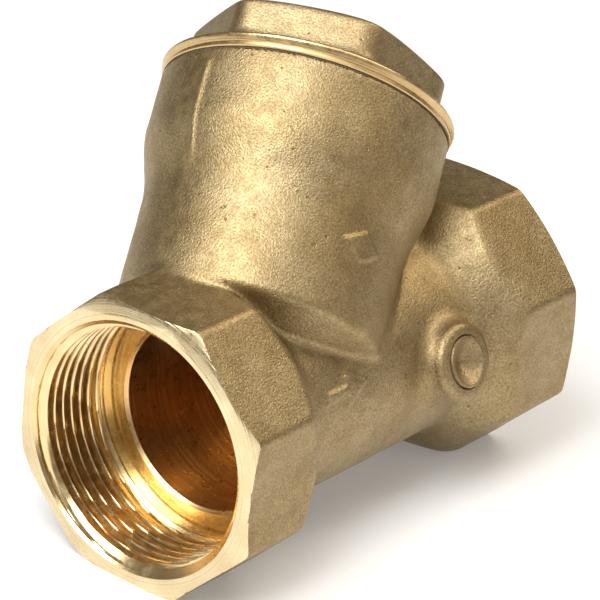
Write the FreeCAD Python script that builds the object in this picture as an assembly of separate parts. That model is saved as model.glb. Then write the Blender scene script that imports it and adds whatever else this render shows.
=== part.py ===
import FreeCAD, Part

import math
import os

from FreeCAD import Placement, Rotation, Vector

# Brass Y-pattern swing check valve with G 1 1/2 female ends. All sizes are in millimetres.
#
# Three frames are used:
#   pipe frame  X along the forging's pipe axis from the inlet face, Z in the symmetry plane
#   neck frame  Z along the leaning neck, X away from the inlet, Y as in the pipe frame
#   row frame   what is exported: the origin is on the bored axis where the inlet's thread begins,
#               +X runs to the outlet and +Z is the normal of the flat the valve lies on
# An octagon corner stands in the symmetry plane, so the pipe frame is rolled half a side to get
# the row frame. The ports are bored a little off the forging's own axis.

# ---- driving dimensions -------------------------------------------------------------------------
across_flats = 54.0
face_to_face = 99.5
end_length = 19.0            # length of each octagon
tube_radius = 20.7           # plain barrel between the ends
wall = 2.6
bored_off = (0.45, -0.33)    # bored axis, from the forging's axis, in Y and Z of the pipe frame

thread_minor_radius = 22.42  # G 1 1/2, modelled by its minor bore: 11 threads per inch
thread_depth = 1.479
thread_start = 2.0           # the thread's minor bore begins here, behind the entry chamfer
thread_end = 16.4            # and ends here, in the relief groove
entry_radius = 24.4          # entry chamfer at the face

neck_x = 25.9                # where the neck's axis crosses the pipe's axis
neck_lean = 40.0             # degrees from square to the pipe, towards the outlet
neck_radius = 25.2
neck_head_radius = 28.0      # thicker part round the cap thread
neck_foot = 14.9             # heights along the neck's axis, from the pipe's axis
neck_top = 59.5

seat_radius = 17.2
seat_height = 16.8
cap_thread_radius = 24.0
cap_flats = 44.0
gasket_thickness = 0.35

hinge_across = -18.0         # hinge pin in the neck frame
hinge_height = 26.0
pin_radius = 1.5
stud_radius = 3.0
disc_radius = 19.4
running_gap = 0.05           # radial, at the pin and at the stud

boss_x, boss_z = 67.0, -4.9  # drain boss on the side of the outlet chamber
boss_face = 24.5
boss_radius = 7.5
plug_radius = 5.0

# ---- sizes that follow from them ----------------------------------------------------------------
flat_radius = across_flats / 2
corner_radius = flat_radius / math.cos(math.pi / 8)
roll = 22.5
bore_radius = tube_radius - wall
shoulder_x = end_length
chamber_radius = neck_radius - 2.4
floor_height = seat_height - 1.0
roof_height = floor_height - 3.6     # underside of the wall that carries the seat
hanger_low = neck_top - 12.9
hanger_high = hanger_low + 1.8
hanger_radius = cap_thread_radius - 0.3
collar_low = neck_top + gasket_thickness
collar_radius = neck_head_radius + 0.75
seal_low = seat_height + 0.03
seal_high = seal_low + 2.4
plate_high = seal_high + 2.8
arm_low = plate_high + 0.6
arm_high = arm_low + 4.0
washer_high = arm_high + 1.3
nut_high = washer_high + 4.0
stud_high = nut_high + 1.2
ear_inner = 5.6                      # faces of the hanger's two ears, from the symmetry plane
ear_outer = 8.0
ear_half = 2.7

X, Y, Z = Vector(1, 0, 0), Vector(0, 1, 0), Vector(0, 0, 1)
ORIGIN = Vector(0, 0, 0)
BORED_AXIS = Vector(0, bored_off[0], bored_off[1])
NECK = Placement(Vector(neck_x, 0, 0), Rotation(Y, neck_lean))
ROW = Placement(Vector(-thread_start, 0, 0), Rotation(X, -roll)).multiply(
    Placement(-BORED_AXIS, Rotation()))


# ---- helpers ------------------------------------------------------------------------------------
def turned(profile):
    """Solid of revolution about Z from (radius, height) corners."""
    points = [Vector(r, 0, z) for r, z in profile]
    face = Part.Face(Part.makePolygon(points + points[:1]))
    return face.revolve(ORIGIN, Z, 360)


def along_pipe(shape):
    """Lay a shape that was turned about Z along the pipe: its Z becomes +X."""
    return shape.transformed(Placement(ORIGIN, Rotation(Y, 90)).toMatrix())


def in_neck(shape):
    return shape.transformed(NECK.toMatrix())


def on_bored_axis(shape):
    return shape.translated(BORED_AXIS)


def at_outlet(shape):
    """The same shape, mirrored to the outlet end."""
    return shape.mirror(Vector(face_to_face / 2, 0, 0), X)


def cylinder(radius, low, high):
    return Part.makeCylinder(radius, high - low, Vector(0, 0, low), Z)


def cross_cylinder(radius, near, far, x, z):
    """Cylinder along Y between two values of Y."""
    return Part.makeCylinder(radius, far - near, Vector(x, near, z), Y)


def box(low, high):
    size = [b - a for a, b in zip(low, high)]
    return Part.makeBox(size[0], size[1], size[2], Vector(*low))


def plate(outline, near, far):
    """Flat plate square to Y with an (x, z) outline."""
    points = [Vector(x, near, z) for x, z in outline]
    face = Part.Face(Part.makePolygon(points + points[:1]))
    return face.extrude(Vector(0, far - near, 0))


def prism(sides, radius, low, high, turn=0.0):
    """Regular prism on Z with its first corner `turn` degrees from +X."""
    points = []
    for k in range(sides):
        angle = math.radians(turn) + 2 * math.pi * k / sides
        points.append(Vector(radius * math.cos(angle), radius * math.sin(angle), low))
    face = Part.Face(Part.makePolygon(points + points[:1]))
    return face.extrude(Vector(0, 0, high - low))


def fused(shapes):
    return shapes[0].fuse(shapes[1:]).removeSplitter()


def cut_all(shape, tools):
    for tool in tools:
        shape = shape.cut(tool)
    return shape.removeSplitter()


# ---- the forged body, outside -------------------------------------------------------------------
def octagon_end():
    """Octagon with the forging's 45 degree shoulder behind it, down to the barrel."""
    over = corner_radius + 1
    shoulder_end = end_length + flat_radius - tube_radius
    envelope = turned([
        (0, 0), (over, 0), (over, end_length + flat_radius - over), (tube_radius, shoulder_end),
        (0, shoulder_end)])
    return along_pipe(prism(8, corner_radius, 0, shoulder_end).common(envelope))


def face_chamfer():
    """What the lathe takes off an octagon's corners at the face: everything outside a cone."""
    face_radius = flat_radius + 0.2
    over = corner_radius + 3
    rise = (over - face_radius) * math.tan(math.radians(30))
    return on_bored_axis(along_pipe(turned([
        (face_radius, -1), (over, -1), (over, rise), (face_radius, 0)])))


def neck_outside():
    """The leaning neck: foot cone, barrel, flare and the thicker head round the cap thread."""
    return in_neck(turned([
        (0, 0), (15.5, 0), (15.5, 8.8), (neck_radius, neck_foot), (neck_radius, 35.4),
        (neck_head_radius, 47.0), (neck_head_radius, neck_top - 0.4),
        (neck_head_radius - 0.4, neck_top), (0, neck_top)]))


def drain_boss():
    return Part.makeCone(boss_radius + 1.6, boss_radius, boss_face - 12,
                         Vector(boss_x, -12, boss_z), -Y)


def flow_arrow():
    """Raised arrow on the barrel, pointing from the inlet to the outlet."""
    tail, head, tip = 29.5, 36.5, 41.5
    half_shaft, half_head, middle = 1.1, 3.4, 2.2
    outline = [(tail, -half_shaft), (head, -half_shaft), (head, -half_head), (tip, 0),
               (head, half_head), (head, half_shaft), (tail, half_shaft)]
    solid = plate([(x, middle + z) for x, z in outline], -tube_radius - 2, -tube_radius + 4)
    return solid.common(Part.makeCylinder(tube_radius + 0.5, face_to_face, ORIGIN, X))


def neck_lozenge():
    """Plain raised lozenge on the side of the neck."""
    half_long, half_wide, height = 5.2, 3.4, 29.8
    outline = [(-2 - half_long, height), (-2, height - half_wide),
               (-2 + half_long, height), (-2, height + half_wide)]
    solid = plate(outline, -neck_radius - 2, -neck_radius + 4)
    return in_neck(solid.common(cylinder(neck_radius + 0.45, 10, 50)))


# ---- the body, inside ---------------------------------------------------------------------------
def port_tool():
    """Entry chamfer, thread's minor bore, relief groove and shoulder of one end, in one solid."""
    slope = (entry_radius - thread_minor_radius) / thread_start
    relief = thread_minor_radius + thread_depth + 0.2
    return turned([
        (0, -1), (entry_radius + slope, -1), (thread_minor_radius, thread_start),
        (thread_minor_radius, thread_end), (relief, thread_end), (relief, shoulder_x),
        (bore_radius + 0.5, shoulder_x), (bore_radius, shoulder_x + 0.5),
        (0, shoulder_x + 0.5)])


def inlet_port(shape):
    return on_bored_axis(along_pipe(shape))


def outlet_port(shape):
    """The inlet's machining turned half round, onto the other face."""
    half_turn = Placement(Vector(face_to_face, 0, 0), Rotation(Z, 180))
    return on_bored_axis(along_pipe(shape).transformed(half_turn.toMatrix()))


def passage(low_x, high_x, low_w, high_w):
    """Pipe bore between two x, kept to the part between two heights along the neck's axis."""
    bore = Part.makeCylinder(bore_radius, high_x - low_x, Vector(low_x, 0, 0) + BORED_AXIS, X)
    return bore.common(in_neck(box((-90, -40, low_w), (120, 40, high_w))))


def neck_cut():
    """Seat hole, chamber round the raised seat lip, cap bore and the face the collar sits on."""
    lip = seat_radius + 0.8
    spot_face = collar_radius + 0.6
    chamber = turned([
        (0, seat_height), (lip, seat_height), (lip + 0.5, floor_height),
        (chamber_radius, floor_height), (chamber_radius, hanger_low),
        (cap_thread_radius, hanger_low), (cap_thread_radius, neck_top),
        (spot_face, neck_top), (spot_face, 100), (0, 100)])
    return in_neck(cylinder(seat_radius, 0, seat_height + 1).fuse(chamber))


def valve_body():
    barrel = Part.makeCylinder(tube_radius, face_to_face - 4, Vector(2, 0, 0), X)
    inlet = octagon_end()
    outside = fused([barrel, inlet, at_outlet(inlet), neck_outside(), drain_boss(),
                     flow_arrow(), neck_lozenge()])
    plug_hole = cross_cylinder(plug_radius, -boss_face - 1, -12, boss_x, boss_z)
    port = port_tool()
    return cut_all(outside, [
        face_chamfer(), at_outlet(face_chamfer()), inlet_port(port), outlet_port(port),
        passage(shoulder_x - 1, face_to_face - shoulder_x - 4, -60, roof_height),
        passage(shoulder_x + 12, face_to_face - shoulder_x + 1, floor_height, 90),
        neck_cut(), plug_hole])


# ---- fixed parts (neck frame) -------------------------------------------------------------------
def bonnet_cap():
    """Screwed cap: hollow thread skirt, rounded collar and hexagon head."""
    thread = cap_thread_radius - 0.1
    skirt_bore = 19.8
    head_low, head_top = collar_low + 1, collar_low + 13.0
    round_part = turned([
        (0, hanger_high), (thread - 0.8, hanger_high), (thread, hanger_high + 0.8),
        (thread, collar_low), (collar_radius - 0.8, collar_low),
        (collar_radius - 0.45, collar_low + 0.3), (collar_radius - 0.45, collar_low + 0.9),
        (collar_radius - 0.15, collar_low + 1.2), (collar_radius, collar_low + 1.9),
        (collar_radius - 0.5, collar_low + 2.7), (collar_radius - 2.0, collar_low + 3.5),
        (collar_radius - 3.6, collar_low + 4.2), (0, collar_low + 4.2)])
    head_radius = cap_flats / 2 / math.cos(math.pi / 6)
    head = prism(6, head_radius, head_low, head_top, 3.7)
    upright = [e for e in head.Edges if abs(e.tangentAt(e.FirstParameter).z) > 0.9]
    crown = turned([
        (0, collar_low), (head_radius + 2, collar_low), (head_radius + 2, head_top - 1.9),
        (cap_flats / 2 - 1, head_top - 0.2), (cap_flats / 2 - 2.2, head_top), (0, head_top)])
    roof = head_top - 6
    hollow = turned([
        (0, hanger_high - 1), (skirt_bore, hanger_high - 1), (skirt_bore, roof - 3),
        (skirt_bore - 3, roof), (0, roof)])
    return fused([round_part, head.makeFillet(2.0, upright).common(crown)]).cut(hollow)


def cap_gasket():
    return cylinder(27.6, neck_top, collar_low).cut(
        cylinder(cap_thread_radius + 0.2, neck_top, collar_low))


def hinge_hanger():
    """Ring clamped under the cap, with two ears that hang down and carry the hinge pin."""
    ring = cylinder(hanger_radius, hanger_low, hanger_high).cut(
        cylinder(20.0, hanger_low, hanger_high))
    ears = []
    for near in (-ear_outer, ear_inner):
        far = near + ear_outer - ear_inner
        bar = box((hinge_across - ear_half, near, hinge_height),
                  (hinge_across + ear_half, far, hanger_high))
        foot = cross_cylinder(ear_half, near, far, hinge_across, hinge_height)
        ears.append(bar.fuse(foot))
    holes = cross_cylinder(pin_radius + 0.01, -20, 20, hinge_across, hinge_height)
    return fused([ring] + ears).cut(holes)


def hinge_pin():
    """Pin with a clip groove near each end."""
    end = ear_outer + 2.0
    pin = cross_cylinder(pin_radius, -end, end, hinge_across, hinge_height)
    for near in (-ear_outer - 0.9, ear_outer + 0.1):
        groove = cross_cylinder(pin_radius + 1, near, near + 0.8, hinge_across, hinge_height).cut(
            cross_cylinder(pin_radius - 0.4, near, near + 0.8, hinge_across, hinge_height))
        pin = pin.cut(groove)
    return pin


def pin_clips():
    """Two open retaining rings, one in each groove of the hinge pin."""
    clips = []
    for near in (-ear_outer - 0.8, ear_outer + 0.2):
        ring = cross_cylinder(2.9, near, near + 0.6, hinge_across, hinge_height).cut(
            cross_cylinder(pin_radius - 0.36, near, near + 0.6, hinge_across, hinge_height))
        mouth = box((hinge_across - 0.8, near, hinge_height - 4),
                    (hinge_across + 0.8, near + 0.6, hinge_height))
        clips.append(ring.cut(mouth))
    return Part.makeCompound(clips)


def drain_plug():
    """Screwed plug in the drain boss, with a turned dimple in its face (pipe frame)."""
    face = -boss_face - 0.25
    plug = turned([
        (0, 1.7), (1.2, 1.35), (plug_radius - 1.0, 0.35), (plug_radius - 0.7, 0),
        (plug_radius - 0.2, 0), (plug_radius - 0.02, 0.2), (plug_radius - 0.02, 6.2), (0, 6.2)])
    plug = plug.transformed(Placement(Vector(boss_x, face, boss_z), Rotation(X, -90)).toMatrix())
    return plug


# ---- the clapper (neck frame) -------------------------------------------------------------------
def swing_arm():
    """Arm from the eye on the hinge pin to the ring round the disc's stud."""
    middle = (arm_low + arm_high) / 2
    eye_half = ear_inner - 0.3
    eye = cross_cylinder(3.3, -eye_half, eye_half, hinge_across, hinge_height)
    bar = box((hinge_across, -4.2, arm_low), (0, 4.2, arm_high))
    ring = cylinder(7.0, arm_low, arm_high)
    rib = plate([(hinge_across + 2, middle), (hinge_across + 2, arm_high + 1.6), (-7.5, arm_high),
                 (-7.5, middle)], -1.3, 1.3)
    return cut_all(fused([eye, bar, ring, rib]), [
        cross_cylinder(pin_radius + running_gap, -20, 20, hinge_across, hinge_height),
        cylinder(stud_radius + running_gap, arm_low - 1, arm_high + 1)])


def disc_plate():
    """Disc with its stud on top and a tapped hole from below."""
    return turned([
        (2.5, seal_high), (disc_radius - 0.4, seal_high), (disc_radius, seal_high + 0.4),
        (disc_radius, plate_high - 0.8), (disc_radius - 0.8, plate_high),
        (6.0, plate_high), (5.5, plate_high + 0.5), (stud_radius, plate_high + 0.5),
        (stud_radius, stud_high - 0.5), (stud_radius - 0.5, stud_high), (0, stud_high),
        (0, seal_high + 4.4), (2.5, seal_high + 4.4)])


def disc_seal():
    return turned([
        (2.8, seal_low), (18.5, seal_low), (18.8, seal_low + 0.3), (18.8, seal_high),
        (2.8, seal_high)])


def seal_retainer():
    return turned([
        (2.8, seal_low - 1.4), (12.4, seal_low - 1.4), (13.2, seal_low - 0.8), (13.2, seal_low),
        (2.8, seal_low)])


def retainer_screw():
    """Slotted screw that clamps the retainer and the seal to the disc."""
    head_high = seal_low - 1.4
    screw = turned([
        (0, head_high - 2.4), (4.4, head_high - 2.4), (4.8, head_high - 2.0), (4.8, head_high),
        (2.48, head_high), (2.48, seal_high + 4.0), (0, seal_high + 4.0)])
    slot = box((-6, -0.6, head_high - 3), (6, 0.6, head_high - 1.2))
    return screw.cut(slot)


def disc_washer():
    return cylinder(5.3, arm_high + 0.1, washer_high).cut(
        cylinder(stud_radius + 0.1, arm_high, washer_high))


def disc_nut():
    nut = prism(6, 4.5 / math.cos(math.pi / 6), washer_high, nut_high, 30)
    rounding = turned([
        (0, washer_high), (4.7, washer_high), (5.3, washer_high + 0.5),
        (5.3, nut_high - 0.5), (4.7, nut_high), (0, nut_high)])
    return nut.common(rounding).cut(cylinder(stud_radius + 0.01, washer_high, nut_high))


# ---- output -------------------------------------------------------------------------------------
def nodes():
    """Every node's shape in the pipe frame, by name."""
    shapes = {"valve_body": valve_body(), "drain_plug": drain_plug()}
    neck_parts = [bonnet_cap, cap_gasket, hinge_hanger, hinge_pin, pin_clips, swing_arm,
                  disc_plate, disc_seal, seal_retainer, retainer_screw, disc_washer, disc_nut]
    for make in neck_parts:
        shapes[make.__name__] = in_neck(make())
    return shapes


def main():
    os.makedirs("parts", exist_ok=True)
    for name, shape in nodes().items():
        placed = shape.transformed(ROW.toMatrix())
        print(name, placed.isValid(), len(placed.Solids), round(placed.Volume))
        placed.exportStep("parts/%s.step" % name)


main()
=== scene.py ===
import math

import bmesh
import bpy
import numpy as np
from mathutils import Matrix, Vector


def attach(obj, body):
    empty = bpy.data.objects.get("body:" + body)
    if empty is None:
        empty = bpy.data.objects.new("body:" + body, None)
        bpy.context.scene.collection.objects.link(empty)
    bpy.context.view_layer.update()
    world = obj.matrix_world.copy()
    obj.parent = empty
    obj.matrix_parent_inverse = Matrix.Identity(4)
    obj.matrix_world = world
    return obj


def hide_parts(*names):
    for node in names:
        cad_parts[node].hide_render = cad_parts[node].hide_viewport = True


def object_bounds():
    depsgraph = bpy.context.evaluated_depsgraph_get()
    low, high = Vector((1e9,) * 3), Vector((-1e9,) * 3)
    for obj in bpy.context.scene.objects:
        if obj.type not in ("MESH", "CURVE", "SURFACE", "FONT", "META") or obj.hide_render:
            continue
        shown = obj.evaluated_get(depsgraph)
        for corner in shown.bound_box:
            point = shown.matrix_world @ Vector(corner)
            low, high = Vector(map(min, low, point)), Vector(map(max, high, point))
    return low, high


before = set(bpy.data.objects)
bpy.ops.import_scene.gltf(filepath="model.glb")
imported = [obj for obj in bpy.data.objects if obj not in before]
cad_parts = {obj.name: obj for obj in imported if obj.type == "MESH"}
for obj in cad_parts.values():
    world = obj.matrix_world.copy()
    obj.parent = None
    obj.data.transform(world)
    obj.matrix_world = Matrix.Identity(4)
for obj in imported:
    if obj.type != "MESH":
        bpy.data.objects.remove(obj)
cad_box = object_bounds()

# Shapes are built in millimetres in the pipe frame, as in the CAD: X along the forging's axis from
# the inlet face, Z in the symmetry plane. The neck frame has Z along the leaning neck.

# ---- sizes shared with the CAD, in millimetres ---------------------------------------------------
ACROSS_FLATS = 54.0
LENGTH = 99.5
END = 19.0
TUBE = 20.7
BORE = 18.1
BORED_AXIS = (0.45, -0.33)
PITCH = 2.309
MINOR = 22.42
DEPTH = 1.479
ENTRY = 24.4
THREAD_START = 2.0
FACE_CHAMFER = 27.2
NECK_X = 25.9
LEAN = math.radians(40)
ROLL = math.radians(22.5)
NECK = 25.2
NECK_HEAD = 28.0
NECK_FOOT = 14.9
NECK_TOP = 59.5
SEAT = 17.2
SEAT_HEIGHT = 16.8
FLOOR = SEAT_HEIGHT - 1.0
ROOF = FLOOR - 3.6
CHAMBER = NECK - 2.4
CAP_BORE = 24.0
LEDGE = NECK_TOP - 12.9
COLLAR_LOW = NECK_TOP + 0.35
COLLAR = NECK_HEAD + 0.55
CAP_FLATS = 44.0
CAP_TOP = COLLAR_LOW + 13.0
BOSS_X, BOSS_Z = 67.0, -4.9
BOSS_FACE = 24.5
BOSS = 7.5
PLUG = 5.0

# ---- sizes only of the visual meshes, in millimetres ---------------------------------------------
FACE_SPARE = 1.5                # stock past both faces, which the lathe envelope cuts off
CUT_DEPTH = 0.6                 # faces deeper than this under the skin are machined
MARK_PROUD = 0.55               # how far the raised marks stand out
MARK_EDGE = (-0.35, 0.45)       # where their soft edges start and end, inwards from the outline
ARROW_TAIL, ARROW_BARBS, ARROW_TIP = 30.5, 36.0, 42.0
ARROW_Z = -0.6
ARROW_SHAFT, ARROW_HEAD = 1.0, 3.2      # half heights
LOZENGE_AT = (-2.0, 29.8)       # across the neck and up it
LOZENGE_SIDES = (3.4, 5.2)      # weights across and up, which set the slopes of its sides
LOZENGE_REACH = 2.6             # from its middle to each side, square to the side
FLASH_PROUD, FLASH_HALF = 0.28, 0.6
WAVINESS = 0.05                 # depth of the forging's hollows, times a field from 0 to 3
RING_STEP = 0.12                # between the rings of the thread tool
THREAD_FLAT = 0.12              # share of the thread's depth cut off at crest and root
THREAD_FADE = (15.2, 17.6)
RELIEF, RELIEF_START = MINOR + 0.35, 17.75
SHOULDER_BREAK = 0.6
CAP_HOLLOW = 19.8
HEXAGON_TURN = 3.7              # degrees about the neck's axis
SHARP_ANGLE = math.radians(32)

ROW = (Matrix.Scale(0.001, 4) @ Matrix.Translation((-THREAD_START, 0, 0))
       @ Matrix.Rotation(-ROLL, 4, "X")
       @ Matrix.Translation((0, -BORED_AXIS[0], -BORED_AXIS[1])))
IN_NECK = Matrix.Translation((NECK_X, 0, 0)) @ Matrix.Rotation(LEAN, 4, "Y")
ALONG_X = Matrix.Rotation(math.pi / 2, 4, "Y")
ON_BORE = Matrix.Translation((0, *BORED_AXIS))


# ---- distance functions --------------------------------------------------------------------------
def smooth_min(a, b, k):
    """Union of two distance fields with a fillet of about k."""
    h = np.maximum(k - np.abs(a - b), 0) / k
    return np.minimum(a, b) - h * h * k * 0.25


def smooth_max(a, b, k):
    """Intersection of two distance fields with an edge rounded by about k."""
    return -smooth_min(-a, -b, k)


def neck_coordinates(p):
    """Across (away from the inlet), side and height along the neck."""
    dx = p[:, 0] - NECK_X
    across = dx * math.cos(LEAN) - p[:, 2] * math.sin(LEAN)
    height = dx * math.sin(LEAN) + p[:, 2] * math.cos(LEAN)
    return across, p[:, 1], height


def ramp(x, low, high):
    """Smooth step from 0 at low to 1 at high."""
    t = np.clip((x - low) / (high - low), 0, 1)
    return t * t * (3 - 2 * t)


def octagon_distance(y, z, rounding):
    """Octagon with a corner on +Z: four pairs of flats."""
    d = None
    for k in range(4):
        angle = math.radians(22.5 + 45 * k)
        pair = np.abs(y * math.cos(angle) + z * math.sin(angle))
        d = pair if d is None else smooth_max(d, pair, rounding)
    return d - ACROSS_FLATS / 2


def polygon_distance(x, y, corners):
    """Exact distance to a polygon, negative inside."""
    best = np.full(x.shape, 1e9)
    sign = np.ones(x.shape)
    for (x0, y0), (x1, y1) in zip(corners, corners[1:] + corners[:1]):
        ex, ey = x1 - x0, y1 - y0
        wx, wy = x - x0, y - y0
        t = np.clip((wx * ex + wy * ey) / (ex * ex + ey * ey), 0, 1)
        best = np.minimum(best, (wx - ex * t) ** 2 + (wy - ey * t) ** 2)
        above, below = y >= y0, y < y1
        left = ex * wy > ey * wx
        flip = (above & below & left) | (~above & ~below & ~left)
        sign = np.where(flip, -sign, sign)
    return sign * np.sqrt(best)


def mark_height(inside):
    """Height of a raised mark, from how far inside its outline a point is."""
    return MARK_PROUD * ramp(inside, *MARK_EDGE)


def arrow_height(p):
    """Raised arrow on the barrel, pointing to the outlet: how far it stands proud."""
    x, y, z = p.T
    outline = [(ARROW_TAIL, -ARROW_SHAFT), (ARROW_BARBS, -ARROW_SHAFT), (ARROW_BARBS, -ARROW_HEAD),
               (ARROW_TIP, 0.0), (ARROW_BARBS, ARROW_HEAD), (ARROW_BARBS, ARROW_SHAFT),
               (ARROW_TAIL, ARROW_SHAFT)]
    return mark_height(-polygon_distance(x, z - ARROW_Z, outline)) * (y < 0)


def lozenge_height(u, v, w):
    """Plain raised lozenge on the neck: how far it stands proud."""
    across, up = np.abs(u - LOZENGE_AT[0]), np.abs(w - LOZENGE_AT[1])
    from_middle = (across * LOZENGE_SIDES[0] + up * LOZENGE_SIDES[1]) / math.hypot(*LOZENGE_SIDES)
    return mark_height(LOZENGE_REACH - from_middle) * (v < 0)


def flash_height(u, v, w):
    """Thin forging flash up the inlet side of the neck's head."""
    along = ramp(w, 36, 41) * (1 - ramp(w, 56.5, 58))
    return FLASH_PROUD * np.exp(-(v / FLASH_HALF) ** 2) * (u < 0) * along


def neck_distance(p):
    """Foot cone, barrel, flare and head of the neck, with its flash and its lozenge.

    The factors 0.97 and 0.53 bring the slopes of the flare and of the foot cone back to about 1.
    """
    u, v, w = neck_coordinates(p)
    rho = np.hypot(u, v)
    radius = NECK + (NECK_HEAD - NECK) * ramp(w, 33.5, 48.5)
    barrel = (rho - radius - flash_height(u, v, w) - lozenge_height(u, v, w)) * 0.97
    foot = (rho - NECK - 1.6 * (w - NECK_FOOT)) * 0.53
    return smooth_max(smooth_max(barrel, foot, 0.9), w - NECK_TOP, 0.25)


def end_distance(depth, y, z, rounding):
    """Octagon and 45 degree shoulder of one end, `depth` behind its face."""
    shoulder = (depth + np.hypot(y, z) - END - ACROSS_FLATS / 2) * 0.707
    return smooth_max(octagon_distance(y, z, 0.7), shoulder, rounding)


def inlet_distance(p):
    """The inlet's end, with one edge rounding all round."""
    x, y, z = p.T
    return end_distance(x, y, z, 1.0)


def outlet_distance(p):
    """The outlet's shoulder is much rounder on the underside."""
    x, y, z = p.T
    under = ramp(-z / np.maximum(np.hypot(y, z), 1e-6), 0.70, 0.96)
    return end_distance(LENGTH - x, y, z, 0.6 + 4.0 * under)


def boss_distance(p):
    """Round boss of the plug, slightly tapered, on the -Y side."""
    x, y, z = p.T
    r = np.hypot(x - BOSS_X, z - BOSS_Z)
    side = r - BOSS - 0.1 * (y + BOSS_FACE)
    return np.maximum(smooth_max(side, -y - BOSS_FACE, 1.6), y)


def body_distance(p):
    """The forging before machining: its surface only waves inwards, so it stays in the CAD's box."""
    x, y, z = p.T
    barrel = np.hypot(y, z) - TUBE - arrow_height(p)
    d = smooth_min(barrel, neck_distance(p), 1.3)
    d = smooth_min(d, inlet_distance(p), 1.8)
    d = smooth_min(d, outlet_distance(p), 1.6)
    d = smooth_min(d, boss_distance(p), 3.0)
    waviness = (np.sin(0.31 * x + 1.7 * np.sin(0.23 * y + 1)) * np.sin(0.27 * z + 0.19 * x)
                + 0.5 * np.sin(0.71 * x + 0.5 * y) * np.sin(0.83 * z + 1.9))
    hollows = WAVINESS * (waviness + 1.5)
    return np.maximum(d + hollows, np.abs(x - LENGTH / 2) - LENGTH / 2 - FACE_SPARE)


def cap_distance(p):
    """Cap above its gasket, in the neck frame: collar with a bead, fillet and rounded hexagon."""
    x, y, w = p.T
    rho = np.hypot(x, y)
    hexagon = None
    for k in range(3):
        angle = math.radians(HEXAGON_TURN + 30 + 60 * k)
        pair = np.abs(x * math.cos(angle) + y * math.sin(angle))
        hexagon = pair if hexagon is None else smooth_max(hexagon, pair, 2.6)
    hexagon = hexagon - CAP_FLATS / 2
    crown = (rho - CAP_FLATS / 2 + 1.6 + 3.2 * (w - CAP_TOP)) * 0.298
    head = smooth_max(smooth_max(hexagon, w - CAP_TOP, 2.4), crown, 1.0)
    head = np.maximum(head, COLLAR_LOW + 1 - w)
    collar = polygon_distance(rho, w, [
        (0, COLLAR_LOW + 1.4), (COLLAR - 1.0, COLLAR_LOW + 1.4), (COLLAR - 0.5, COLLAR_LOW + 2.2),
        (COLLAR - 1.6, COLLAR_LOW + 2.7), (0, COLLAR_LOW + 2.7)]) - 0.5
    return smooth_min(head, collar, 3.0)


# ---- meshes from distance functions --------------------------------------------------------------
CORNERS = [(i, j, k) for i in (0, 1) for j in (0, 1) for k in (0, 1)]


def sampled(distance, low, high, step):
    """The field on a grid, worked out only in blocks that the surface may cross."""
    block = 8
    low = np.array(low, float)
    shape = np.ceil((np.array(high) - low) / step / block).astype(int) * block
    coarse = np.stack(np.meshgrid(*[np.arange(n // block) for n in shape], indexing="ij"), -1)
    centres = low + (coarse.reshape(-1, 3) * block + (block - 1) / 2) * step
    at_centre = distance(centres)
    half_diagonal = block * step * 0.87
    reach = half_diagonal * 1.5 + 2         # with room for slopes over 1 and for the fillets
    near = np.abs(at_centre) < reach
    field = np.repeat(np.repeat(np.repeat(
        at_centre.reshape(shape // block), block, 0), block, 1), block, 2).astype(np.float32)
    inner = np.stack(np.meshgrid(*[np.arange(block)] * 3, indexing="ij"), -1).reshape(-1, 3)
    cells = (coarse.reshape(-1, 3)[near] * block)[:, None, :] + inner[None]
    cells = cells.reshape(-1, 3)
    field[cells[:, 0], cells[:, 1], cells[:, 2]] = distance(low + cells * step)
    return field


def surface_net(distance, low, high, step):
    """Closed quad mesh of the zero surface: one vertex per crossed cell, pulled onto the surface."""
    field = sampled(distance, low, high, step)
    inside = field < 0
    size = np.array(field.shape) - 1

    def part(array, i, j, k):
        return array[i:i + size[0], j:j + size[1], k:k + size[2]]

    count = sum(part(inside, *c).astype(np.int8) for c in CORNERS)
    cells = np.argwhere((count > 0) & (count < 8))
    index = np.full(size, -1, np.int64)
    index[tuple(cells.T)] = np.arange(len(cells))
    total = np.zeros((len(cells), 3))
    hits = np.zeros(len(cells))
    for a in CORNERS:
        for axis in range(3):
            if a[axis]:
                continue
            b = list(a)
            b[axis] = 1
            fa = field[tuple((cells + a).T)]
            fb = field[tuple((cells + b).T)]
            crossed = (fa < 0) != (fb < 0)
            t = np.where(crossed, fa / np.where(crossed, fa - fb, 1), 0)
            point = np.array(a, float) + np.outer(t, np.eye(3)[axis])
            total += point * crossed[:, None]
            hits += crossed
    points = np.array(low, float) + (cells + total / hits[:, None]) * step
    for _ in range(2):
        points = pulled_on(distance, points, step)
    quads = []
    for axis in range(3):
        others = [k for k in range(3) if k != axis]
        a = inside[1:-1, 1:-1, 1:-1]
        shift = [slice(1, -1)] * 3
        shift[axis] = slice(2, None)
        b = inside[tuple(shift)]
        edges = np.argwhere(a != b) + 1
        ring = []
        for s, t in ((1, 1), (0, 1), (0, 0), (1, 0)):
            cell = edges.copy()
            cell[:, others[0]] -= s
            cell[:, others[1]] -= t
            ring.append(index[tuple(cell.T)])
        ring = np.stack(ring, 1)
        outward = inside[tuple(edges.T)]
        if axis == 1:
            outward = ~outward
        ring[~outward] = ring[~outward][:, ::-1]
        quads.append(ring)
    return points, np.concatenate(quads)


def pulled_on(distance, points, step):
    """One Newton step onto the surface, no longer than half a cell."""
    e = 0.02
    value = distance(points)
    slope = np.stack([(distance(points + e * np.eye(3)[k]) - distance(points - e * np.eye(3)[k]))
                      / (2 * e) for k in range(3)], 1)
    move = -value[:, None] * slope / np.maximum((slope ** 2).sum(1), 0.2)[:, None]
    length = np.linalg.norm(move, axis=1)
    return points + move * np.minimum(1, 0.5 * step / np.maximum(length, 1e-9))[:, None]


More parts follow.
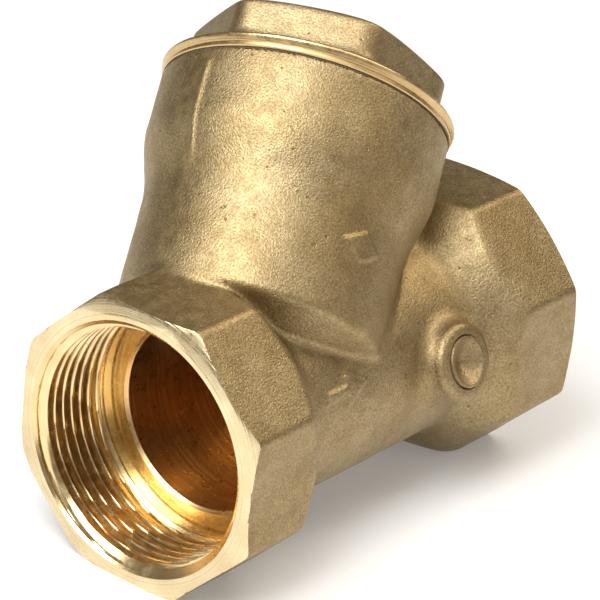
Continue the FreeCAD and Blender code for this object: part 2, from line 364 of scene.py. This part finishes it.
def mesh_object(name, points, faces, matrix=None):
    mesh = bpy.data.meshes.new(name)
    mesh.from_pydata([tuple(p) for p in points], [], [tuple(f) for f in faces])
    mesh.validate()
    if matrix is not None:
        mesh.transform(matrix)
    piece = bpy.data.objects.new(name, mesh)
    bpy.context.scene.collection.objects.link(piece)
    return piece


def rings_object(name, rings, matrix=None):
    """Closed mesh through a list of rings, each an array of points, with a cap on both ends."""
    count = len(rings[0])
    points = np.concatenate(rings)
    faces = []
    for k in range(len(rings) - 1):
        for j in range(count):
            n = (j + 1) % count
            faces.append((k * count + j, k * count + n, (k + 1) * count + n, (k + 1) * count + j))
    faces.append(tuple(range(count - 1, -1, -1)))
    last = (len(rings) - 1) * count
    faces.append(tuple(range(last, last + count)))
    return mesh_object(name, points, faces, matrix)


def level_ring(radius, height, segments):
    angle = np.arange(segments) * 2 * math.pi / segments
    return np.stack([radius * np.cos(angle), radius * np.sin(angle),
                     np.full(segments, float(height))], 1)


def turned(name, profile, matrix=None, segments=192):
    """Solid of revolution about Z from (radius, height) corners that start and end off the axis."""
    return rings_object(name, [level_ring(r, z, segments) for r, z in profile], matrix)


def facing_out(piece):
    work = bmesh.new()
    work.from_mesh(piece.data)
    bmesh.ops.recalc_face_normals(work, faces=work.faces)
    work.to_mesh(piece.data)
    work.free()
    return piece


def combined(piece, tool, operation):
    """Apply one boolean and drop its tool."""
    facing_out(tool)
    modifier = piece.modifiers.new("cut", "BOOLEAN")
    modifier.operation = operation
    modifier.solver = "MANIFOLD"
    modifier.object = tool
    bpy.context.view_layer.update()
    result = bpy.data.meshes.new_from_object(
        piece.evaluated_get(bpy.context.evaluated_depsgraph_get()))
    piece.modifiers.clear()
    piece.data = result
    bpy.data.objects.remove(tool)


# ---- machining tools for the body ----------------------------------------------------------------
def thread_radius(x, angle):
    """Radius of the port's wall along the thread: a helix that fades out before the relief."""
    phase = ((x - THREAD_START) / PITCH - angle / (2 * math.pi)) % 1.0
    height = 0.5 - 0.5 * np.cos(2 * math.pi * phase)
    flank = np.clip((height - THREAD_FLAT) / (1 - 2 * THREAD_FLAT), 0, 1)
    fade = 1 - ramp(x, *THREAD_FADE)
    return MINOR + DEPTH * flank * fade


def port_rings():
    """Rings of the port tool about the bored axis, outside to shoulder, and their angles."""
    segments = 320
    angle = np.arange(segments) * 2 * math.pi / segments

    def ring(x, radius):
        radius = np.broadcast_to(radius, angle.shape)
        return np.stack([np.full(segments, float(x)), radius * np.cos(angle),
                         radius * np.sin(angle)], 1)

    def cone(x):
        return ENTRY - x * (ENTRY - MINOR) / THREAD_START

    rings = [ring(x, cone(x)) for x in (-1, 0)]
    for x in np.arange(RING_STEP, RELIEF_START, RING_STEP):
        rings.append(ring(x, np.maximum(thread_radius(x, angle), cone(x))))
    rings += [ring(RELIEF_START, RELIEF), ring(END, RELIEF), ring(END, BORE + SHOULDER_BREAK)]
    return rings, angle


def bored_way(end_height, from_outlet):
    """Port and pipe bore up to the slanted wall that carries the seat, from the port's own face."""
    rings, angle = port_rings()
    y = BORE * np.cos(angle)
    z = BORE * np.sin(angle)
    rings.append(np.stack([np.full(len(angle), END + SHOULDER_BREAK), y, z], 1))
    level = z + BORED_AXIS[1]
    x = NECK_X + (end_height - level * math.cos(LEAN)) / math.sin(LEAN)
    rings.append(np.stack([LENGTH - x if from_outlet else x, y, z], 1))
    return rings


def inlet_tool():
    return rings_object("inlet_tool", bored_way(ROOF, False), ON_BORE)


def outlet_tool():
    half_turn = (Matrix.Translation((LENGTH / 2, 0, 0)) @ Matrix.Rotation(math.pi, 4, "Z")
                 @ Matrix.Translation((-LENGTH / 2, 0, 0)))
    return rings_object("outlet_tool", bored_way(FLOOR, True), ON_BORE @ half_turn)


def neck_tool():
    lip = SEAT + 0.8
    return turned("neck_tool", [
        (SEAT, 0.0), (SEAT, SEAT_HEIGHT), (lip, SEAT_HEIGHT), (lip + 0.5, FLOOR),
        (CHAMBER, FLOOR), (CHAMBER, LEDGE), (CAP_BORE, LEDGE), (CAP_BORE, NECK_TOP + 2)], IN_NECK)


def spot_face_tool():
    return turned("spot_face", [(COLLAR + 0.6, NECK_TOP), (COLLAR + 0.6, 100.0)], IN_NECK)


def plug_tool():
    across = Matrix.Translation((BOSS_X, -BOSS_FACE - 1, BOSS_Z)) @ Matrix.Rotation(
        -math.pi / 2, 4, "X")
    return turned("plug_tool", [(PLUG + 0.5, 0), (PLUG + 0.5, 0.9), (PLUG + 0.12, 1.3),
                                (PLUG + 0.12, 13)], across)


def face_envelope():
    """What stays inside the lathe: both faces and their 30 degree corner chamfers."""
    grow = 20.0
    rise = grow * math.tan(math.radians(30))
    clear = 90.0
    return turned("envelope", [
        (FACE_CHAMFER, 0), (FACE_CHAMFER + grow, rise), (clear, rise + 0.1),
        (clear, LENGTH - rise - 0.1), (FACE_CHAMFER + grow, LENGTH - rise),
        (FACE_CHAMFER, LENGTH)], ON_BORE @ ALONG_X, 256)


def assign_by(piece, choose, materials):
    """Give each face the material that choose(centres) names by number."""
    mesh = piece.data
    mesh.materials.clear()
    for material in materials:
        mesh.materials.append(material)
    count = len(mesh.polygons)
    centres = np.empty(count * 3)
    mesh.polygons.foreach_get("center", centres)
    chosen = choose(centres.reshape(-1, 3))
    mesh.polygons.foreach_set("material_index", chosen.astype(np.int32))


def into_row(piece):
    """Move a piece from millimetres in the pipe frame to metres in the row frame, and smooth it."""
    piece.data.transform(ROW)
    piece.data.shade_smooth()
    piece.data.set_sharp_from_angle(angle=SHARP_ANGLE)


def body_zones(centres):
    """0 forged skin, 1 machined face and chamfer, 2 thread, 3 inside."""
    x, y, z = centres.T
    depth = -body_distance(centres)
    inner = depth > CUT_DEPTH
    r = np.hypot(y - BORED_AXIS[0], z - BORED_AXIS[1])
    near_end = np.minimum(x, LENGTH - x)
    on_face = near_end < 0.02
    on_corner_chamfer = (depth > 0.06) & (r > 23.0) & (near_end < 6)
    in_port = (r < ENTRY + 0.2) & (near_end < END + 0.1)
    zone = np.zeros(len(centres))
    zone[inner] = 3
    zone[on_corner_chamfer | on_face] = 1
    zone[inner & in_port & ~on_face] = 2
    return zone


def build_body(skin, machined, thread, inside):
    """Forging with its ports, neck bore, seat and plug hole machined into it."""
    step = 0.42
    points, quads = surface_net(body_distance, (-3, -33, -33), (LENGTH + 3, 33, 64), step)
    body = mesh_object("valve_body_skin", points, quads)
    facing_out(body)
    combined(body, face_envelope(), "INTERSECT")
    for tool in (inlet_tool(), outlet_tool(), neck_tool(), spot_face_tool(), plug_tool()):
        combined(body, tool, "DIFFERENCE")
    assign_by(body, body_zones, [skin, machined, thread, inside])
    into_row(body)
    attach(body, "housing")
    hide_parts("valve_body")


# ---- cap, plug -----------------------------------------------------------------------------------
def cap_zones(centres):
    """0 blasted head, 1 turned collar, skirt and hollow."""
    rho = np.hypot(centres[:, 0], centres[:, 1])
    on_collar = (centres[:, 2] < COLLAR_LOW + 3.1) & (rho > 26.6)
    on_skirt = centres[:, 2] < COLLAR_LOW
    in_hollow = cap_distance(centres) < -CUT_DEPTH
    return (on_collar | on_skirt | in_hollow).astype(float)


def build_cap(blasted, polished):
    """Screwed cap: rounded hexagon on a beaded collar, thread skirt, hollow underneath."""
    step = 0.3
    points, quads = surface_net(cap_distance, (-31, -31, COLLAR_LOW - 2), (31, 31, CAP_TOP + 2), step)
    cap = facing_out(mesh_object("bonnet_cap_skin", points, quads))
    skirt_low, skirt = LEDGE + 1.8, CAP_BORE - 0.1
    lip = COLLAR - 0.45
    combined(cap, turned("skirt", [
        (skirt - 0.8, skirt_low), (skirt, skirt_low + 0.8), (skirt, COLLAR_LOW),
        (lip - 0.2, COLLAR_LOW), (lip, COLLAR_LOW + 0.2), (lip, COLLAR_LOW + 0.65),
        (lip - 0.35, COLLAR_LOW + 0.85), (lip - 0.35, COLLAR_LOW + 1.4)], segments=256), "UNION")
    combined(cap, turned("cap_hollow", [
        (CAP_HOLLOW, skirt_low - 1), (CAP_HOLLOW, CAP_TOP - 9), (CAP_HOLLOW - 3, CAP_TOP - 6)]),
        "DIFFERENCE")
    assign_by(cap, cap_zones, [blasted, polished])
    cap.data.transform(IN_NECK)
    into_row(cap)
    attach(cap, "housing")
    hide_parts("bonnet_cap")


def build_plug(material):
    """Screwed plug with a round dimple, blasted like the cap."""
    across = Matrix.Translation((BOSS_X, -BOSS_FACE - 0.25, BOSS_Z)) @ Matrix.Rotation(
        -math.pi / 2, 4, "X")
    edge = PLUG - 0.02
    plug = facing_out(turned("drain_plug_turned", [
        (0.1, 2.5), (0.7, 2.3), (2.0, 1.6), (edge - 1.1, 0.55), (edge - 0.75, 0.1),
        (edge - 0.6, 0.0), (edge - 0.25, 0.0), (edge - 0.08, 0.07), (edge, 0.25), (edge, 6.2)],
        across, 96))
    plug.data.materials.append(material)
    into_row(plug)
    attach(plug, "housing")
    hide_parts("drain_plug")


# ---- materials -----------------------------------------------------------------------------------
class Shader:
    """A principled material with short calls for the nodes used here.

    Sizes and depths are given in millimetres. Object coordinates are in metres.
    """

    def __init__(self, name, metallic=1.0):
        self.material = bpy.data.materials.new(name)
        self.material.use_nodes = True
        self.tree = self.material.node_tree
        self.surface = self.tree.nodes["Principled BSDF"]
        self.surface.inputs["Metallic"].default_value = metallic
        self.position = self.node("ShaderNodeTexCoord").outputs["Object"]

    def node(self, kind, **settings):
        made = self.tree.nodes.new(kind)
        for key, value in settings.items():
            setattr(made, key, value)
        return made

    def link(self, source, target):
        self.tree.links.new(source, target)

    def noise(self, size, detail=3.0):
        """Noise from 0 to 1 with blobs of about `size` millimetres."""
        made = self.node("ShaderNodeTexNoise")
        made.inputs["Scale"].default_value = 1000.0 / size
        made.inputs["Detail"].default_value = detail
        self.link(self.position, made.inputs["Vector"])
        return made.outputs["Fac"]

    def remap(self, value, low, high, to_low=0.0, to_high=1.0):
        made = self.node("ShaderNodeMapRange")
        for key, number in (("From Min", low), ("From Max", high), ("To Min", to_low),
                            ("To Max", to_high)):
            made.inputs[key].default_value = number
        self.link(value, made.inputs["Value"])
        return made.outputs["Result"]

    def blend(self, factor, first, second):
        """Mix two colours, each a socket or an (r, g, b)."""
        made = self.node("ShaderNodeMix", data_type="RGBA")
        for socket, value in ((made.inputs[6], first), (made.inputs[7], second)):
            if isinstance(value, tuple):
                socket.default_value = (*value, 1.0)
            else:
                self.link(value, socket)
        self.link(factor, made.inputs[0])
        return made.outputs[2]

    def math(self, operation, first, second):
        made = self.node("ShaderNodeMath", operation=operation)
        for socket, value in zip(made.inputs, (first, second)):
            if isinstance(value, (int, float)):
                socket.default_value = value
            else:
                self.link(value, socket)
        return made.outputs["Value"]

    def colour(self, source):
        self.link(source, self.surface.inputs["Base Color"])

    def roughness(self, source):
        self.link(source, self.surface.inputs["Roughness"])

    def bump(self, *layers):
        """Stack of (height, depth in millimetres) layers."""
        normal = None
        for height, depth in layers:
            made = self.node("ShaderNodeBump")
            made.inputs["Strength"].default_value = 1.0
            made.inputs["Distance"].default_value = depth / 1000.0
            self.link(height, made.inputs["Height"])
            if normal is not None:
                self.link(normal, made.inputs["Normal"])
            normal = made.outputs["Normal"]
        self.link(normal, self.surface.inputs["Normal"])


def blasted_brass(name, light, mid, dark):
    """Shot-blasted forging: matt, granular, with oxide clouds and a few pits."""
    s = Shader(name)
    clouds = s.remap(s.noise(16, 4), 0.2, 0.8)
    patches = s.remap(s.noise(4.5, 5), 0.40, 0.66)
    grains = s.remap(s.noise(0.42, 2), 0.32, 0.68)
    base = s.blend(clouds, mid, light)
    base = s.blend(s.math("MULTIPLY", patches, 0.16), base, dark)
    base = s.blend(s.math("MULTIPLY", grains, 0.55), base, dark)
    pits = s.remap(s.noise(1.6, 2), 0.71, 0.76)
    base = s.blend(s.math("MULTIPLY", pits, 0.6), base, dark)
    s.colour(base)
    s.roughness(s.remap(s.noise(2.5, 3), 0.3, 0.7, 0.40, 0.56))
    s.bump((s.noise(3.0, 3), 0.045), (s.noise(0.38, 3), 0.12), (pits, -0.10))
    return s.material


def with_axis(s, operation, axis_point, axis):
    """Vector maths of an axis with the way from a point on it, both in the row frame."""
    shifted = s.node("ShaderNodeVectorMath", operation="SUBTRACT")
    s.link(s.position, shifted.inputs[0])
    shifted.inputs[1].default_value = axis_point
    made = s.node("ShaderNodeVectorMath", operation=operation)
    s.link(shifted.outputs[0], made.inputs[0])
    made.inputs[1].default_value = axis
    return made


def axis_radius(s, axis_point, axis):
    """Distance from the axis, in metres, as a socket."""
    length = s.node("ShaderNodeVectorMath", operation="LENGTH")
    s.link(with_axis(s, "CROSS_PRODUCT", axis_point, axis).outputs[0], length.inputs[0])
    return length.outputs["Value"]


def along_axis(s, axis_point, axis):
    """Distance along the axis, in metres, as a socket."""
    return with_axis(s, "DOT_PRODUCT", axis_point, axis).outputs["Value"]


def tool_marks(s, distance, pitch):
    """Uneven fine lines from a lathe tool, along a distance in metres."""
    made = s.node("ShaderNodeTexNoise", noise_dimensions="1D")
    made.inputs["Scale"].default_value = 1000.0 / pitch
    made.inputs["Detail"].default_value = 3.0
    s.link(distance, made.inputs["W"])
    return made.outputs["Fac"]


def turned_brass(name, light, dark, axis_point, axis, roughness, across_face=False, feed=0.35):
    """Lathe-cut brass with tool marks round its axis and light staining."""
    s = Shader(name)
    radius = axis_radius(s, axis_point, axis)
    marks = tool_marks(s, radius if across_face else along_axis(s, axis_point, axis), feed)
    stains = s.math("MULTIPLY", s.remap(s.noise(7, 3), 0.35, 0.70), 0.6)
    base = s.blend(stains, light, dark)
    base = s.blend(s.math("MULTIPLY", s.remap(marks, 0.35, 0.65), 0.45), base, dark)
    s.colour(base)
    s.roughness(s.remap(s.noise(1.5, 3), 0.3, 0.7, roughness * 0.8, roughness * 1.3))
    s.bump((marks, 0.1 * feed), (s.noise(2.4, 2), 0.006))
    return s.material


def ground_steel(name):
    """Bright ground steel of the pin and its clips."""
    s = Shader(name)
    s.colour(s.blend(s.noise(2, 3), (0.56, 0.57, 0.58), (0.42, 0.42, 0.43)))
    s.roughness(s.remap(s.noise(0.8, 3), 0.3, 0.7, 0.22, 0.38))
    s.bump((s.noise(0.4, 3), 0.006))
    return s.material


def moulded_rubber(name):
    """Matt black rubber of the disc's seal."""
    s = Shader(name, 0.0)
    s.colour(s.blend(s.noise(3, 4), (0.030, 0.030, 0.031), (0.060, 0.058, 0.055)))
    s.roughness(s.remap(s.noise(1, 3), 0.3, 0.7, 0.45, 0.7))
    s.bump((s.noise(0.5, 3), 0.02))
    return s.material


def pressed_fibre(name):
    """Brown fibre of the cap's gasket."""
    s = Shader(name, 0.0)
    s.colour(s.blend(s.noise(0.8, 5), (0.130, 0.085, 0.045), (0.045, 0.030, 0.018)))
    s.roughness(s.remap(s.noise(1, 3), 0.3, 0.7, 0.65, 0.9))
    s.bump((s.noise(0.4, 3), 0.05))
    return s.material


def row_direction(matrix, vector):
    return tuple((ROW @ matrix).to_3x3().normalized() @ Vector(vector))


def row_point(matrix, point):
    return tuple(ROW @ matrix @ Vector(point))


# ---- the valve -----------------------------------------------------------------------------------
pipe_at, pipe_axis = row_point(ON_BORE, (0, 0, 0)), (1.0, 0.0, 0.0)
neck_at, neck_axis = row_point(IN_NECK, (0, 0, 0)), row_direction(IN_NECK, (0, 0, 1))

skin = blasted_brass("blasted_forging", (0.49, 0.395, 0.23), (0.345, 0.25, 0.115), (0.15, 0.09, 0.03))
cap_skin = blasted_brass("blasted_cap", (0.48, 0.39, 0.235), (0.35, 0.255, 0.125), (0.15, 0.09, 0.03))
face = turned_brass("machined_face", (0.82, 0.70, 0.46), (0.60, 0.45, 0.23), pipe_at, pipe_axis,
                    0.26, across_face=True)
thread = turned_brass("cut_thread", (0.92, 0.75, 0.44), (0.70, 0.48, 0.21), pipe_at, pipe_axis, 0.22)
inside = turned_brass("bored_inside", (0.86, 0.60, 0.31), (0.56, 0.35, 0.15), pipe_at, pipe_axis,
                      0.30, feed=1.1)
collar = turned_brass("turned_collar", (0.68, 0.52, 0.28), (0.50, 0.34, 0.15), neck_at, neck_axis,
                      0.30)
fittings = turned_brass("turned_fittings", (0.70, 0.48, 0.20), (0.48, 0.29, 0.10), neck_at,
                        neck_axis, 0.30)
steel = ground_steel("ground_steel")
rubber = moulded_rubber("moulded_rubber")
fibre = pressed_fibre("pressed_fibre")

build_body(skin, face, thread, inside)
build_cap(cap_skin, collar)
build_plug(cap_skin)

for material, names in (
        (fittings, ("hinge_hanger", "swing_arm", "disc_plate", "seal_retainer", "retainer_screw",
                    "disc_washer", "disc_nut")),
        (steel, ("hinge_pin", "pin_clips")),
        (rubber, ("disc_seal",)),
        (fibre, ("cap_gasket",))):
    for name in names:
        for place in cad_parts[name].material_slots:
            place.material = material


# ---- floor, light and camera ---------------------------------------------------------------------
AIM = Vector((0.043, 0.0, 0.012))
WHITE = (1.0, 1.0, 1.0)
WARM = (1.0, 0.90, 0.76)


def pale_floor():
    """Level floor under the valve, faintly glowing so that it stays near white."""
    half = 3.0
    level = float(cad_box[0][2])
    floor = mesh_object("floor", [(-half, -half, level), (half, -half, level), (half, half, level),
                                  (-half, half, level)], [(0, 1, 2, 3)])
    s = Shader("pale_floor", 0.0)
    s.colour(s.blend(s.noise(400, 2), (0.74, 0.74, 0.74), (0.72, 0.72, 0.72)))
    s.surface.inputs["Roughness"].default_value = 0.9
    s.surface.inputs["Emission Color"].default_value = (*WHITE, 1.0)
    s.surface.inputs["Emission Strength"].default_value = 0.18
    floor.data.materials.append(s.material)


def softbox(name, azimuth, elevation, distance, size, watts, colour):
    """Square area light aimed at the valve. Azimuth 0 is on the -Y side, positive towards +X."""
    light = bpy.data.lights.new(name, "AREA")
    light.size = size
    light.energy = watts
    light.color = colour
    lamp = bpy.data.objects.new(name, light)
    a, e = math.radians(azimuth), math.radians(elevation)
    direction = Vector((math.sin(a) * math.cos(e), -math.cos(a) * math.cos(e), math.sin(e)))
    lamp.location = AIM + direction * distance
    lamp.rotation_euler = direction.to_track_quat("Z", "Y").to_euler()
    bpy.context.scene.collection.objects.link(lamp)


pale_floor()
for light in (
        ("key", -95, 48, 0.75, 0.55, 7, WHITE),
        ("fill", 10, 30, 0.9, 0.5, 0.8, WARM),
        ("rim", 70, 50, 0.8, 0.4, 2.5, WARM),
        ("side", -64, 50, 0.8, 0.25, 0.8, WHITE),
        ("top", -40, 80, 0.9, 0.9, 3.5, WHITE)):
    softbox(*light)

world = bpy.data.worlds.new("studio")
world.use_nodes = True
background = world.node_tree.nodes["Background"]
background.inputs["Color"].default_value = (*WARM, 1.0)
background.inputs["Strength"].default_value = 0.20
bpy.context.scene.world = world
bpy.context.scene.view_settings.view_transform = "Standard"

camera = bpy.data.objects.new("camera", bpy.data.cameras.new("camera"))
camera.data.lens = 210.24
camera.data.sensor_width = 36.0
camera.location = (-0.43309, -0.34669, 0.29531)
camera.rotation_euler = [math.radians(a) for a in (64.493, -5.551, -51.326)]
bpy.context.scene.collection.objects.link(camera)
bpy.context.scene.camera = camera
